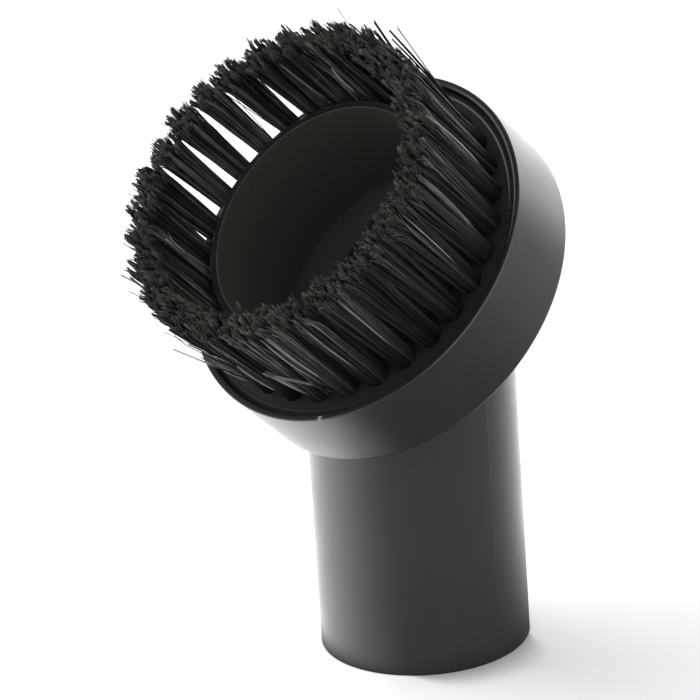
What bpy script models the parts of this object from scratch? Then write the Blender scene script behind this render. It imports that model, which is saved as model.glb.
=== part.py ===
"""Round dusting brush for a vacuum cleaner wand.

One moulded body holds the push-on socket, the head tilted at 45 degrees and the sleeve that the
air passes through. A tufted ring is pressed into the channel between the head's outer wall and
the sleeve, and thirty flared tufts of bristle stand in its blind holes, each folded over a flat
wire anchor. The socket's axis is vertical and the head faces -Y.
"""

import math
import random

import bmesh
import bpy
from mathutils import Matrix, Vector

MM = 0.001

# Fits
PRESS_GAP = 0.3 * MM            # between the ring and the walls that hold it
ROOT_GAP = 0.3 * MM             # around a tuft in its hole
ANCHOR_GAP = 0.3 * MM           # around an anchor inside the folded tuft
TUFT_TIP_GAP = 0.35 * MM        # between neighbouring tufts at their tips

# Socket, pushed over the male end of a 32 mm wand
SOCKET_MOUTH_BORE_R = 16.10 * MM
SOCKET_END_BORE_R = 15.90 * MM
SOCKET_DEPTH = 36.0 * MM
SOCKET_STOP_STEP = 1.0 * MM
SOCKET_LEAD_IN = 0.6 * MM
TUBE_MOUTH_OUTER_R = 18.25 * MM
TUBE_TOP_OUTER_R = 18.35 * MM
TUBE_END_ROUND = 0.9 * MM

# Head
HEAD_TILT = math.radians(45.0)
HEAD_CENTRE_HEIGHT = 64.7 * MM  # where the head's axis leaves the tube's axis, at the back wall
HEAD_DEPTH = 15.8 * MM          # back wall to rim
HEAD_RIM_R = 33.0 * MM
HEAD_DRAFT = 0.15 * MM          # how much smaller the head is at its back
HEAD_BACK_ROUND = 0.8 * MM
BACK_WALL = 2.0 * MM
RIM_WALL = 1.3 * MM
RIM_ROUND = 0.4 * MM
NECK_FILLET = 1.2 * MM          # where the tube grows out of the back wall

# Air sleeve, inside the ring of tufts
CHANNEL_WIDTH = 8.7 * MM        # between the head's outer wall and the sleeve
SLEEVE_WALL = 1.3 * MM
SLEEVE_RISE = 9.5 * MM          # above the rim
THROAT_MARGIN = 0.4 * MM        # kept between the throat's edge and the foot of the sleeve

# Tufted ring and the shoulders that it rests on
RING_RECESS = 0.8 * MM          # face of the ring below the rim
RING_THICKNESS = 9.4 * MM
RING_CHAMFER = 0.35 * MM
SHOULDER_WIDTH = 1.0 * MM
HOLE_DEPTH = 8.0 * MM

# Tufts
TUFT_COUNT = 30
TUFT_INSET = 4.7 * MM           # from the head's outer wall to the circle of the holes
HOLE_WEB = 1.14 * MM            # left between neighbouring holes
TUFT_REACH = 25.0 * MM          # tips above the rim
TUFT_TIP_HALF_DEPTH = 2.9 * MM  # across the ring, at the tips
TUFT_LEAN_OUT = 0.4 * MM        # how far the tips stand outside the circle of the holes
TUFT_TIP_SQUARENESS = 3.0       # power of the outline at the tips, where 2 is an ellipse
TUFT_FLUTES = 10
FLUTE_DEPTH_ROOT = 0.04         # shares of the outline's size
FLUTE_DEPTH_TIP = 0.15
TUFT_RAGGED = 0.7 * MM          # height differences of the cut ends
TUFT_LEVELS = (0.0, 0.3, 0.6, 1.0)  # shares of the free length at which the outline changes

# Flat wire anchors, one across each hole
ANCHOR_THICKNESS = 0.5 * MM
ANCHOR_HEIGHT = 1.6 * MM
ANCHOR_BITE = 0.5 * MM          # into the wall of the hole at each end
ANCHOR_FLOOR = 1.7 * MM         # from the hole's floor to the anchor

# Facets
HEAD_SEGMENTS = 64
TUBE_SEGMENTS = 48
HOLE_SEGMENTS = 12
ROUND_STEPS = 2
SMOOTH_ANGLE = math.radians(35.0)

# Places that follow from the sizes above
HEAD_BACK_R = HEAD_RIM_R - HEAD_DRAFT
RIM_BORE_R = HEAD_RIM_R - RIM_WALL
SLEEVE_OUTER_R = RIM_BORE_R - CHANNEL_WIDTH
SLEEVE_BORE_R = SLEEVE_OUTER_R - SLEEVE_WALL
SLEEVE_TOP = HEAD_DEPTH + SLEEVE_RISE
RING_TOP = HEAD_DEPTH - RING_RECESS
RING_BOTTOM = RING_TOP - RING_THICKNESS
SHOULDER_TOP = RING_BOTTOM - PRESS_GAP
HOLE_FLOOR = RING_TOP - HOLE_DEPTH
TUFT_CIRCLE_R = RIM_BORE_R - TUFT_INSET
HOLE_R = TUFT_CIRCLE_R * math.sin(math.pi / TUFT_COUNT) - HOLE_WEB / 2.0
TUFT_ROOT_R = HOLE_R - ROOT_GAP
SLEEVE_FOOT_R = SLEEVE_BORE_R - BACK_WALL * math.tan(HEAD_TILT) - THROAT_MARGIN
STOP_R = SOCKET_END_BORE_R - SOCKET_STOP_STEP
THROAT_R = min(SLEEVE_FOOT_R * math.cos(HEAD_TILT), STOP_R)
WALL_TAPER = abs(TUBE_TOP_OUTER_R - TUBE_MOUTH_OUTER_R)
NECK_ROOM = HEAD_BACK_R - TUBE_TOP_OUTER_R / math.cos(HEAD_TILT)
NECK_ROUND = min(NECK_FILLET, NECK_ROOM / 2.0)
BACK_ROUND = min(HEAD_BACK_ROUND, NECK_ROOM / 4.0)
HEAD_POINT = Vector((0.0, 0.0, HEAD_CENTRE_HEIGHT))
HEAD_AXIS = Vector((0.0, -math.sin(HEAD_TILT), math.cos(HEAD_TILT)))


def srgb(code):
    """Linear colour of an sRGB hex code."""
    parts = [int(code[i:i + 2], 16) / 255.0 for i in (1, 3, 5)]
    return [c / 12.92 if c <= 0.04045 else ((c + 0.055) / 1.055) ** 2.4 for c in parts] + [1.0]


def plain_material(name, code, roughness):
    """Principled material of one colour."""
    material = bpy.data.materials.new(name)
    material.use_nodes = True
    shader = material.node_tree.nodes["Principled BSDF"]
    shader.inputs["Base Color"].default_value = srgb(code)
    shader.inputs["Roughness"].default_value = roughness
    shader.inputs["Metallic"].default_value = 0.0
    return material


def rounded(corners):
    """Outline through (radius, height, rounding) corners, with an arc at each rounded one."""
    points = []
    for i, (x, y, r) in enumerate(corners):
        corner = Vector((x, y))
        if r <= 0.0 or i in (0, len(corners) - 1):
            points.append(corner)
            continue
        before = (Vector(corners[i - 1][:2]) - corner).normalized()
        after = (Vector(corners[i + 1][:2]) - corner).normalized()
        half = before.angle(after) / 2.0
        centre = corner + (before + after).normalized() * (r / math.sin(half))
        start = corner + before * (r / math.tan(half)) - centre
        end = corner + after * (r / math.tan(half)) - centre
        for step in range(ROUND_STEPS + 1):
            share = step / ROUND_STEPS
            sweep = start.angle(end)
            a = math.sin((1.0 - share) * sweep) / math.sin(sweep)
            b = math.sin(share * sweep) / math.sin(sweep)
            points.append(centre + start * a + end * b)
    return points


def turned(outline, segments, closed):
    """Solid turned about Z: a ring from a closed outline, or one whose open ends are capped."""
    bm = bmesh.new()
    verts = [bm.verts.new((p[0], 0.0, p[1])) for p in outline]
    pairs = list(zip(verts, verts[1:]))
    if closed:
        pairs.append((verts[-1], verts[0]))
    edges = [bm.edges.new(pair) for pair in pairs]
    bmesh.ops.spin(bm, geom=edges, cent=(0, 0, 0), axis=(0, 0, 1), angle=2.0 * math.pi,
                   steps=segments, use_merge=True)
    bmesh.ops.remove_doubles(bm, verts=bm.verts, dist=1e-6)
    bmesh.ops.holes_fill(bm, edges=bm.edges, sides=0)
    bmesh.ops.recalc_face_normals(bm, faces=bm.faces)
    return bm


def trim_above(bm, height_along_head):
    """Cut a solid of the tube's frame flat, across the head's axis, and keep the lower part."""
    cut = bmesh.ops.bisect_plane(bm, geom=bm.verts[:] + bm.edges[:] + bm.faces[:],
                                 plane_co=HEAD_POINT + HEAD_AXIS * height_along_head,
                                 plane_no=HEAD_AXIS, clear_outer=True)
    rim = [item for item in cut["geom_cut"] if isinstance(item, bmesh.types.BMEdge)]
    bmesh.ops.contextual_create(bm, geom=rim)
    bmesh.ops.recalc_face_normals(bm, faces=bm.faces)


def add_object(name, bm, material=None, parent=None):
    """Object from a bmesh, shaded smooth between its sharp edges."""
    mesh = bpy.data.meshes.new(name)
    bm.to_mesh(mesh)
    bm.free()
    mesh.shade_smooth()
    mesh.set_sharp_from_angle(angle=SMOOTH_ANGLE)
    obj = bpy.data.objects.new(name, mesh)
    bpy.context.collection.objects.link(obj)
    obj.parent = parent
    if material:
        mesh.materials.append(material)
    return obj


def add_cutter(name, bm, parent=None):
    """Object that only shapes another one."""
    obj = add_object(name, bm, parent=parent)
    obj.hide_render = True
    obj.display_type = "WIRE"
    return obj


def combine(obj, other, operation):
    """Boolean modifier with the exact solver."""
    modifier = obj.modifiers.new(operation.lower(), "BOOLEAN")
    modifier.operation = operation
    modifier.solver = "EXACT"
    modifier.object = other


def bake(obj):
    """Replace an object's mesh by its evaluated one, and drop the modifiers."""
    evaluated = obj.evaluated_get(bpy.context.evaluated_depsgraph_get())
    mesh = bpy.data.meshes.new_from_object(evaluated)
    obj.modifiers.clear()
    obj.data = mesh
    return mesh


def head_solid():
    """Turned head: back wall, rim, the channel for the ring with its shoulders, and the sleeve."""
    return turned(rounded([
        (HEAD_BACK_R - 1.5 * BACK_ROUND, 0.0, 0.0),
        (HEAD_BACK_R, 0.0, BACK_ROUND),
        (HEAD_RIM_R, HEAD_DEPTH, RIM_ROUND),
        (RIM_BORE_R, HEAD_DEPTH, RIM_ROUND),
        (RIM_BORE_R, SHOULDER_TOP, 0.0),
        (RIM_BORE_R - SHOULDER_WIDTH, SHOULDER_TOP, 0.0),
        (RIM_BORE_R - SHOULDER_WIDTH, BACK_WALL, 0.0),
        (SLEEVE_OUTER_R + SHOULDER_WIDTH, BACK_WALL, 0.0),
        (SLEEVE_OUTER_R + SHOULDER_WIDTH, SHOULDER_TOP, 0.0),
        (SLEEVE_OUTER_R, SHOULDER_TOP, 0.0),
        (SLEEVE_OUTER_R, SLEEVE_TOP, RIM_ROUND),
        (SLEEVE_BORE_R, SLEEVE_TOP, RIM_ROUND),
        (SLEEVE_BORE_R, BACK_WALL, 0.0),
    ]), HEAD_SEGMENTS, closed=False)


def tube_solid():
    """Outside of the tube, ending inside the head's back wall."""
    top = HEAD_CENTRE_HEIGHT + TUBE_TOP_OUTER_R * math.tan(HEAD_TILT) + HEAD_DEPTH
    bm = turned(rounded([
        (TUBE_MOUTH_OUTER_R - 2.0 * TUBE_END_ROUND, 0.0, 0.0),
        (TUBE_MOUTH_OUTER_R, 0.0, TUBE_END_ROUND),
        (TUBE_TOP_OUTER_R, top, 0.0),
    ]), TUBE_SEGMENTS, closed=False)
    trim_above(bm, BACK_WALL / 2.0)
    return bm


def airway_solid():
    """Space inside the tube: tapered socket, stop, and a throat that opens inside the sleeve."""
    below = SOCKET_LEAD_IN
    throat_start = HEAD_CENTRE_HEIGHT - THROAT_R * math.tan(HEAD_TILT)
    top = HEAD_CENTRE_HEIGHT + THROAT_R * math.tan(HEAD_TILT) + HEAD_DEPTH
    bm = turned(rounded([
        (SOCKET_MOUTH_BORE_R + SOCKET_LEAD_IN + below, -below, 0.0),
        (SOCKET_MOUTH_BORE_R, SOCKET_LEAD_IN, 0.0),
        (SOCKET_END_BORE_R, SOCKET_DEPTH, 0.0),
        (STOP_R, SOCKET_DEPTH, 0.0),
        (THROAT_R, throat_start, 0.0),
        (THROAT_R, top, 0.0),
    ]), TUBE_SEGMENTS, closed=False)
    trim_above(bm, BACK_WALL + THROAT_MARGIN / 2.0)
    return bm


def round_neck(mesh):
    """Fillet along the edge where the tube grows out of the head's back wall."""
    bm = bmesh.new()
    bm.from_mesh(mesh)
    bmesh.ops.dissolve_limit(bm, angle_limit=math.radians(0.02), verts=bm.verts, edges=bm.edges)
    tolerance = 0.01 * MM

    def at_neck(vert):
        on_back_wall = abs((vert.co - HEAD_POINT).dot(HEAD_AXIS)) < tolerance
        return on_back_wall and abs(vert.co.xy.length - TUBE_TOP_OUTER_R) < WALL_TAPER + tolerance

    neck = [edge for edge in bm.edges
            if all(at_neck(v) for v in edge.verts) and edge.calc_face_angle_signed(0.0) < 0.0]
    bmesh.ops.bevel(bm, geom=neck, offset=NECK_ROUND, offset_type="OFFSET", segments=ROUND_STEPS,
                    profile=0.5, affect="EDGES", clamp_overlap=False)
    bmesh.ops.recalc_face_normals(bm, faces=bm.faces)
    bm.to_mesh(mesh)
    bm.free()
    mesh.shade_smooth()
    mesh.set_sharp_from_angle(angle=SMOOTH_ANGLE)


def make_body(frame, material):
    """Moulded body, from the socket's mouth to the top of the sleeve."""
    body = add_object("brush_body", tube_solid(), material, frame)
    head = head_solid()
    bmesh.ops.transform(head, matrix=head_matrix(), verts=head.verts)
    head_part = add_cutter("head_form", head, frame)
    airway = add_cutter("airway_form", airway_solid(), frame)
    combine(body, head_part, "UNION")
    combine(body, airway, "DIFFERENCE")
    bpy.context.view_layer.update()
    round_neck(bake(body))
    for form in (head_part, airway):
        bpy.data.objects.remove(form, do_unlink=True)
    return body


def head_matrix():
    """Placing of the head: origin at the back wall's centre, Z along the head's axis."""
    return Matrix.Translation(HEAD_POINT) @ Matrix.Rotation(HEAD_TILT, 4, "X")


def tuft_angle(index):
    """Place of a tuft round the ring, from the head's +X side."""
    return 2.0 * math.pi * index / TUFT_COUNT


def boxes_at_holes(size, centre_height):
    """One box across each hole, with its length in the radial direction."""
    bm = bmesh.new()
    for index in range(TUFT_COUNT):
        place = (Matrix.Rotation(tuft_angle(index), 4, "Z")
                 @ Matrix.Translation((TUFT_CIRCLE_R, 0.0, centre_height))
                 @ Matrix.Diagonal((*size, 1.0)))
        bmesh.ops.create_cube(bm, size=1.0, matrix=place)
    return bm


def make_ring(head, material):
    """Tufted ring: blind holes, and the anchors that are pressed across them."""
    inner = SLEEVE_OUTER_R + PRESS_GAP
    outer = RIM_BORE_R - PRESS_GAP
    edge = RING_CHAMFER
    ring = add_object("bristle_ring", turned([
        (inner, RING_BOTTOM), (outer, RING_BOTTOM),
        (outer, RING_TOP - edge), (outer - edge, RING_TOP),
        (inner + edge, RING_TOP), (inner, RING_TOP - edge),
    ], HEAD_SEGMENTS, closed=True), material, head)
    holes = bmesh.new()
    for index in range(TUFT_COUNT):
        place = (Matrix.Rotation(tuft_angle(index), 4, "Z")
                 @ Matrix.Translation((TUFT_CIRCLE_R, 0.0, HOLE_FLOOR + HOLE_DEPTH)))
        bmesh.ops.create_cone(holes, cap_ends=True, segments=HOLE_SEGMENTS, radius1=HOLE_R,
                              radius2=HOLE_R, depth=2.0 * HOLE_DEPTH, matrix=place)
    anchors = boxes_at_holes((2.0 * (HOLE_R + ANCHOR_BITE), ANCHOR_THICKNESS, ANCHOR_HEIGHT),
                             HOLE_FLOOR + ANCHOR_FLOOR + ANCHOR_HEIGHT / 2.0)
    hole_form = add_cutter("hole_form", holes, head)
    anchor_form = add_cutter("anchor_form", anchors, head)
    combine(ring, hole_form, "DIFFERENCE")
    combine(ring, anchor_form, "UNION")
    return ring


def tuft_section(share, phase, wobble):
    """Points of a tuft's outline at a share of its free length, as (out, along, valley) values.

    The root is round. The tip is wider, squarer and fluted, because the filaments part in locks.
    """
    half_pitch = math.pi * TUFT_CIRCLE_R / TUFT_COUNT
    half_out = TUFT_ROOT_R + (TUFT_TIP_HALF_DEPTH - TUFT_ROOT_R) * share
    half_along = TUFT_ROOT_R + (half_pitch - TUFT_TIP_GAP / 2.0 - TUFT_ROOT_R) * share
    squareness = 2.0 + (TUFT_TIP_SQUARENESS - 2.0) * share
    depth = FLUTE_DEPTH_ROOT + (FLUTE_DEPTH_TIP - FLUTE_DEPTH_ROOT) * share
    points = []
    for i in range(2 * TUFT_FLUTES):
        angle = math.pi * i / TUFT_FLUTES + phase
        c = math.cos(angle)
        s = math.sin(angle)
        reach = (abs(c) ** squareness + abs(s) ** squareness) ** (-1.0 / squareness)
        valley = i % 2
        flute = 1.0 - valley * depth * wobble[i]
        points.append((c * reach * flute * half_out, s * reach * flute * half_along, valley))
    return points


def tuft_solid(seed):
    """One tuft in the ring's frame, standing at angle zero."""
    chance = random.Random(seed)
    phase = chance.uniform(0.0, math.pi / TUFT_FLUTES)
    wobble = [chance.uniform(0.7, 1.3) for _ in range(2 * TUFT_FLUTES)]
    lean = TUFT_LEAN_OUT * chance.uniform(0.5, 1.5)
    tip = HEAD_DEPTH + TUFT_REACH
    root = HOLE_FLOOR + ROOT_GAP
    heights = [(root, 0.0)]
    for share in TUFT_LEVELS:
        heights.append((RING_TOP + (tip - RING_TOP) * share, share))
    bm = bmesh.new()
    loops = []
    for height, share in heights:
        loop = []
        for out, along, valley in tuft_section(share, phase, wobble):
            radius = TUFT_CIRCLE_R + lean * share + out
            turn = along / TUFT_CIRCLE_R
            drop = 0.0
            if share == 1.0:
                drop = TUFT_RAGGED * (0.5 * valley + chance.uniform(0.0, 0.5))
            point = (radius * math.cos(turn), radius * math.sin(turn), height - drop)
            loop.append(bm.verts.new(point))
        loops.append(loop)
    for low, high in zip(loops, loops[1:]):
        for i in range(len(low)):
            j = (i + 1) % len(low)
            bm.faces.new((low[i], low[j], high[j], high[i]))
    bm.faces.new(list(reversed(loops[0])))
    crown_tuft(bm, loops[-1], lean, tip, chance)
    bmesh.ops.recalc_face_normals(bm, faces=bm.faces)
    return bm


def crown_tuft(bm, rim, lean, tip, chance):
    """Close a tuft's tip with a crown of locks that end at different heights."""
    centre = Vector((TUFT_CIRCLE_R + lean, 0.0, tip))
    inner = []
    for i in range(TUFT_FLUTES):
        peak = rim[2 * i].co
        point = centre.lerp(Vector((peak.x, peak.y, tip)), 0.5)
        point.z = tip - TUFT_RAGGED * chance.uniform(0.0, 1.0)
        inner.append(bm.verts.new(point))
    middle = bm.verts.new(centre)
    for i in range(TUFT_FLUTES):
        j = (i + 1) % TUFT_FLUTES
        left, valley, right = rim[2 * i], rim[2 * i + 1], rim[(2 * i + 2) % len(rim)]
        bm.faces.new((left, valley, inner[i]))
        bm.faces.new((valley, inner[j], inner[i]))
        bm.faces.new((valley, right, inner[j]))
        bm.faces.new((inner[i], inner[j], middle))


def make_tufts(head, material):
    """Thirty tufts, each with the window in its fold that its anchor passes through."""
    window = bmesh.new()
    size = (4.0 * TUFT_ROOT_R, ANCHOR_THICKNESS + 2.0 * ANCHOR_GAP,
            ANCHOR_HEIGHT + 2.0 * ANCHOR_GAP)
    place = (Matrix.Translation((TUFT_CIRCLE_R, 0.0,
                                 HOLE_FLOOR + ANCHOR_FLOOR + ANCHOR_HEIGHT / 2.0))
             @ Matrix.Diagonal((*size, 1.0)))
    bmesh.ops.create_cube(window, size=1.0, matrix=place)
    window_form = add_cutter("window_form", window)
    tufts = []
    for index in range(TUFT_COUNT):
        tuft = add_object(f"bristle_tuft_{index + 1:02d}", tuft_solid(index), material)
        combine(tuft, window_form, "DIFFERENCE")
        tufts.append(tuft)
    bpy.context.view_layer.update()
    for index, tuft in enumerate(tufts):
        bake(tuft)
        tuft.parent = head
        tuft.rotation_euler.z = tuft_angle(index)
    bpy.data.objects.remove(window_form, do_unlink=True)
    return tufts


def stand_on_origin(frame, pieces):
    """Move the brush so that the origin is under the middle of its box, on the floor."""
    bpy.context.view_layer.update()
    corners = [piece.matrix_world @ vert.co for piece in pieces for vert in piece.data.vertices]
    low = [min(corner[i] for corner in corners) for i in range(3)]
    high = [max(corner[i] for corner in corners) for i in range(3)]
    frame.location = (-(low[0] + high[0]) / 2.0, -(low[1] + high[1]) / 2.0, -low[2])


def main():
    for old in list(bpy.data.objects):
        bpy.data.objects.remove(old, do_unlink=True)
    frame = bpy.data.objects.new("brush_frame", None)
    head = bpy.data.objects.new("head_frame", None)
    for empty in (frame, head):
        bpy.context.collection.objects.link(empty)
    head.parent = frame
    head.location = HEAD_POINT
    head.rotation_euler.x = HEAD_TILT
    body = make_body(frame, plain_material("moulded_polypropylene", "#2b2b2c", 0.42))
    ring = make_ring(head, plain_material("pressed_ring_polypropylene", "#1f1f1f", 0.50))
    tufts = make_tufts(head, plain_material("crimped_black_filament", "#171716", 0.55))
    stand_on_origin(frame, [body, ring] + tufts)


main()
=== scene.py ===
"""Looks of a round dusting brush for a vacuum cleaner wand.

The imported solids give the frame. Over them stand a smooth moulded body, the edge of the bristle
ring and thirty tufts of loose filaments with their strays, on a pale floor in soft light. Sizes
are in millimetres where nothing else is said, and a mesh is turned to metres when it is made.
"""

import logging
import math
from dataclasses import dataclass, field
from enum import Enum, IntEnum
from typing import Any

import bpy
import numpy as np
from bpy.types import Material, Node, NodeSocket, NodeTree, Object, World
from mathutils import Matrix, Vector
from numpy.random import Generator


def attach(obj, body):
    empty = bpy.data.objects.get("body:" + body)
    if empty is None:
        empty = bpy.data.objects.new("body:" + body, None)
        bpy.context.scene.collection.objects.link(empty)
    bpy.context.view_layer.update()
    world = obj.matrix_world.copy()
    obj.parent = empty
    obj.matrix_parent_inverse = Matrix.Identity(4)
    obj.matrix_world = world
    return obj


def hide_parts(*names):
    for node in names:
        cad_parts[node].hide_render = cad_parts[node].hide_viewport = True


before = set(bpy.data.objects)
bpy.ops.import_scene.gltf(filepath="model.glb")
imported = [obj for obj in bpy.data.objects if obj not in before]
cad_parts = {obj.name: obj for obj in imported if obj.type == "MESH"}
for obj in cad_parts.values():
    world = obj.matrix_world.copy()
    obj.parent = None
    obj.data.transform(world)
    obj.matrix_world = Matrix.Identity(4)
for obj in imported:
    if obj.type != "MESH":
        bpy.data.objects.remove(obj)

Pair = tuple[float, float]
Triple = tuple[float, float, float]
Quad = tuple[float, float, float, float]
Stops = tuple[tuple[float, str], ...]

MM = 0.001
ROOT_BODY = "root"
HIGHLIGHT_LEVEL = 0.5        # level of a painted highlight on an edge, where 1 is nicked
GOLDEN_TURN = math.pi * (3.0 - math.sqrt(5.0))  # from one point of an even spiral to the next
LOG = logging.getLogger("dusting_brush")


class Slot(Enum):
    """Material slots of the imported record."""

    BODY = "body_plastic"
    RING = "ring_plastic"
    BRISTLE = "bristle_filament"


class Shading(Enum):
    """How the faces of a new mesh are shaded."""

    SMOOTH = True
    FLAT = False


class Change(Enum):
    """How a value goes from one end of a range to the other."""

    EVEN = "LINEAR"
    SOFT = "SMOOTHSTEP"


class Mixed(Enum):
    """What a mix node mixes."""

    VALUES = "FLOAT"
    COLOURS = "RGBA"


class Finish(IntEnum):
    """Finishes of the moulded body, by the number of their place on the mesh."""

    GLOSSY = 0
    MATT = 1
    # painted fill light: a paler black that lifts the shade inside the sleeve
    PAINTED_FILL_INSIDE = 2
    # painted fill light: a paler black that lifts the shade on the sleeve's outer wall and floor
    # and in the airway
    PAINTED_FILL_HOLLOW = 3


def linear(code: str, alpha: float = 1.0) -> Quad:
    """Turn an sRGB hex code into a linear colour.

    Args:
        code: Colour written as #rrggbb.
        alpha: Opacity to put beside it.

    Returns:
        Linear red, green and blue, and the opacity.
    """
    parts = [int(code[i:i + 2], 16) / 255.0 for i in (1, 3, 5)]
    red, green, blue = (c / 12.92 if c <= 0.04045 else ((c + 0.055) / 1.055) ** 2.4 for c in parts)
    return red, green, blue, alpha


def add_node(tree: NodeTree, kind: str, inputs: dict[str | int, Any] | None = None,
             **settings: Any) -> Node:
    """Add a node with its settings and inputs.

    Args:
        tree: Node tree that gets the node.
        kind: Blender's name of the node type, without the ShaderNode prefix.
        inputs: What its input sockets get, by name or number: a socket to link, or a value.
        settings: Attributes of the node itself.

    Returns:
        The new node.
    """
    node = tree.nodes.new(f"ShaderNode{kind}")
    for name, value in settings.items():
        setattr(node, name, value)
    for name, given in (inputs or {}).items():
        if isinstance(given, NodeSocket):
            tree.links.new(given, node.inputs[name])
        else:
            node.inputs[name].default_value = given
    return node


def new_material(name: str) -> tuple[Material, NodeTree]:
    """Make an empty node material.

    Args:
        name: Name of the material.

    Returns:
        The material and its node tree.
    """
    material = bpy.data.materials.new(name)
    material.use_nodes = True
    material.node_tree.nodes.clear()
    return material, material.node_tree


def compute(tree: NodeTree, operation: str, *terms: Any) -> NodeSocket:
    """Result of a math node on sockets and numbers."""
    return add_node(tree, "Math", dict(enumerate(terms)), operation=operation).outputs["Value"]


def steer(tree: NodeTree, operation: str, *terms: Any) -> NodeSocket:
    """Vector that comes out of a vector math node."""
    node = add_node(tree, "VectorMath", dict(enumerate(terms)), operation=operation)
    return node.outputs["Vector"]


def facing(tree: NodeTree, direction: NodeSocket, side: Triple) -> NodeSocket:
    """How far a direction faces a side: 1 towards it, -1 away from it."""
    node = add_node(tree, "VectorMath", {0: direction, 1: side}, operation="DOT_PRODUCT")
    return node.outputs["Value"]


def remap(tree: NodeTree, value: NodeSocket, start: tuple[Any, Any] = (0.0, 1.0),
          goal: tuple[Any, Any] = (0.0, 1.0), change: Change = Change.EVEN) -> NodeSocket:
    """Carry a value from one range into another, and hold it inside.

    Args:
        tree: Node tree.
        value: Value to carry.
        start: Ends of its own range, as numbers or sockets.
        goal: Ends of the new range, as numbers or sockets.
        change: Even, or soft at both ends.

    Returns:
        The carried value.
    """
    node = add_node(tree, "MapRange", {
        "Value": value, "From Min": start[0], "From Max": start[1], "To Min": goal[0],
        "To Max": goal[1]}, interpolation_type=change.value)
    return node.outputs["Result"]


def blend(tree: NodeTree, kind: Mixed, share: NodeSocket, first: Any, second: Any) -> NodeSocket:
    """Mix of two sockets or constants, from the first at 0 to the second at 1."""
    node = add_node(tree, "Mix", {"Factor": share, "A": first, "B": second}, data_type=kind.value)
    return node.outputs["Result"]


def attribute(tree: NodeTree, name: str) -> NodeSocket:
    """Number that the mesh holds at each point."""
    return add_node(tree, "Attribute", attribute_name=name).outputs["Fac"]


def noise(tree: NodeTree, length: float, detail: float) -> NodeSocket:
    """Noise in the object's own coordinates.

    Args:
        tree: Node tree of the material.
        length: Length of its waves in millimetres.
        detail: Number of finer waves on top of them.

    Returns:
        Values about 0.5.
    """
    place = add_node(tree, "TexCoord").outputs["Object"]
    return add_node(tree, "TexNoise", {
        "Vector": place, "Scale": 1.0 / (length * MM), "Detail": detail}).outputs["Fac"]


def bump(tree: NodeTree, height: NodeSocket, distance: float, **below: NodeSocket) -> NodeSocket:
    """Relief that the light sees.

    Args:
        tree: Node tree of the material.
        height: Height from 0 to 1.
        distance: Height of 1 in millimetres.
        below: Normal that it is laid on, if there is one.

    Returns:
        The normal.
    """
    return add_node(tree, "Bump", {"Height": height, "Strength": 1.0, "Distance": distance * MM,
                                   **below}).outputs["Normal"]


def ramp(tree: NodeTree, value: NodeSocket, stops: Stops) -> NodeSocket:
    """Colours along a value.

    Args:
        tree: Node tree.
        value: Value from 0 to 1.
        stops: Positions on it with their sRGB hex codes.

    Returns:
        The colour.
    """
    node = add_node(tree, "ValToRGB", {"Fac": value})
    elements = node.color_ramp.elements
    while len(elements) < len(stops):
        elements.new(0.5)
    for element, (position, code) in zip(elements, stops):
        element.position = position
        element.color = linear(code)
    return node.outputs["Color"]


def paint_highlight_and_nick(tree: NodeTree, colour: NodeSocket, highlight: str, nicked: str = "#d0d0ce") -> NodeSocket:
    """Lighten a colour where the mesh's attribute of painted highlights and nicks is high.

    Args:
        tree: Node tree of the material.
        colour: Colour of the plain surface.
        highlight: Colour at a value of a half, a painted highlight on edges that catch the light.
        nicked: Colour at a value of one, in a nick that has turned white from the strain.

    Returns:
        The mixed colour.
    """
    highlight_and_nick = attribute(tree, "highlight_and_nick")
    pale_edge = ramp(tree, highlight_and_nick, ((HIGHLIGHT_LEVEL, highlight), (1.0, nicked)))
    return blend(tree, Mixed.COLOURS, remap(tree, highlight_and_nick, (0.0, HIGHLIGHT_LEVEL)), colour, pale_edge)


def shade_plastic(tree: NodeTree, inputs: dict[str | int, Any]) -> None:
    """Shade the surface of a material as plastic.

    Args:
        tree: Node tree of the material.
        inputs: What the shader's sockets get.
    """
    shader = add_node(tree, "BsdfPrincipled", {"Metallic": 0.0, **inputs})
    add_node(tree, "OutputMaterial", {"Surface": shader.outputs["BSDF"]})


@dataclass(frozen=True)
class MouldedPolypropylene:
    """Black polypropylene as it leaves a finely eroded mould.

    The eye sees a deep neutral black with a satin gloss: broad soft reflections that are sharp
    enough to follow the round of the tube, broken by a grain too fine to count, and slow waves of
    sink where the wall cooled.
    """

    name: str = "moulded_black_polypropylene"
    colour: str = "#2b2b2b"
    sunk_colour: str = "#303030"
    # painted highlight colour for edges that catch the light
    highlight_colour: str = "#565655"
    ior: float = 1.49
    roughness: Pair = (0.335, 0.385)    # least and most
    tone_mm: float = 9.0        # length of the uneven tone
    sunk: Pair = (0.3, 0.75)    # tone at which the sunk colour sets in and is full
    dull: Pair = (0.3, 0.7)     # tone at which the roughness is least and most
    grain_mm: float = 0.35      # real grain is near 0.05 mm, drawn as coarse as it needs to show
    grain_height_mm: float = 0.0012
    sink_mm: float = 22.0       # length of the slow waves
    sink_height_mm: float = 0.02

    def make(self) -> Material:
        """Build the material.

        Returns:
            The finished material.
        """
        material, tree = new_material(self.name)
        tone = noise(tree, self.tone_mm, detail=3.0)
        low, high = self.sunk
        colour = ramp(tree, tone, ((low, self.colour), (high, self.sunk_colour)))
        wave = bump(tree, noise(tree, self.sink_mm, detail=1.0), self.sink_height_mm)
        grain = noise(tree, self.grain_mm, detail=2.0)
        shade_plastic(tree, {
            "Base Color": paint_highlight_and_nick(tree, colour, self.highlight_colour), "IOR": self.ior,
            "Roughness": remap(tree, tone, self.dull, self.roughness),
            "Normal": bump(tree, grain, self.grain_height_mm, Normal=wave)})
        return material


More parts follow.
